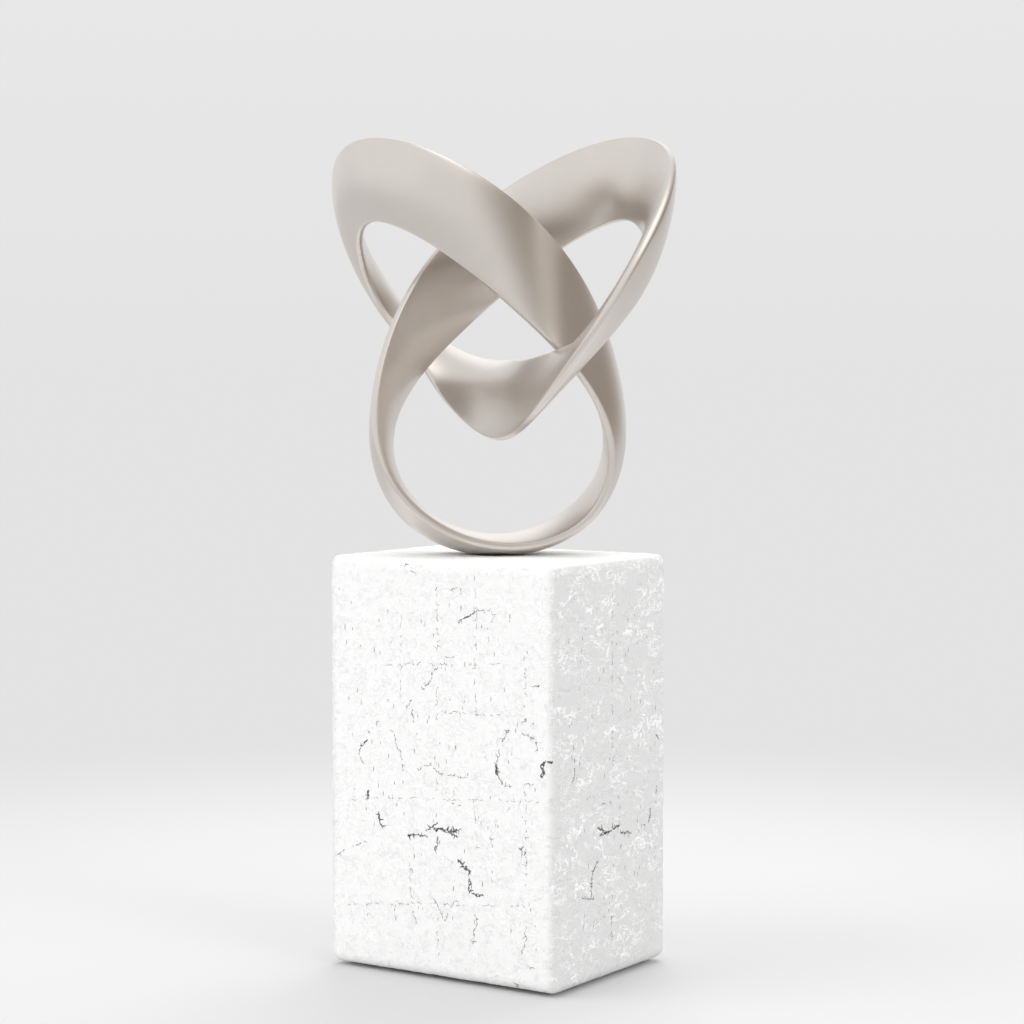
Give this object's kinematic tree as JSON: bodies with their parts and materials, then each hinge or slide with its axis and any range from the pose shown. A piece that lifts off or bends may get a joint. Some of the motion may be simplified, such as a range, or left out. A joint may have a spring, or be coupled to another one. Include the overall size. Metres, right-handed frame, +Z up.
{
  "type": "metal knot sculpture",
  "caption": "Satin metal band tied in a closed three-lobed knot, bolted upright on a white stone plinth block with a felt underside.",
  "frame": {"origin": "middle of the felt's flat underside, on the surface that the sculpture stands on", "axes": "+Z up; the front looks along +Y, so the knot's ring and lobes lie in the XZ plane; +X to the right seen from the front"},
  "size_m": [0.2146, 0.1073, 0.4002],
  "materials": {
    "satin_metal": "satin, fine bead-blasted grain, warm silver",
    "white_stone": "matt, rough, cracked white skin",
    "zinc_steel": "bright zinc plated",
    "dark_rubber": "matt",
    "grey_felt": "pressed felt"
  },
  "bodies": {
    "root": {"knot_band": "satin_metal", "seat_gasket": "dark_rubber", "fixing_rod": "zinc_steel", "locating_pin": "zinc_steel", "plinth_block": "white_stone", "load_washer": "zinc_steel", "spring_washer": "zinc_steel", "clamp_nut": "zinc_steel", "felt_base": "grey_felt"}
  },
  "joints": []
}
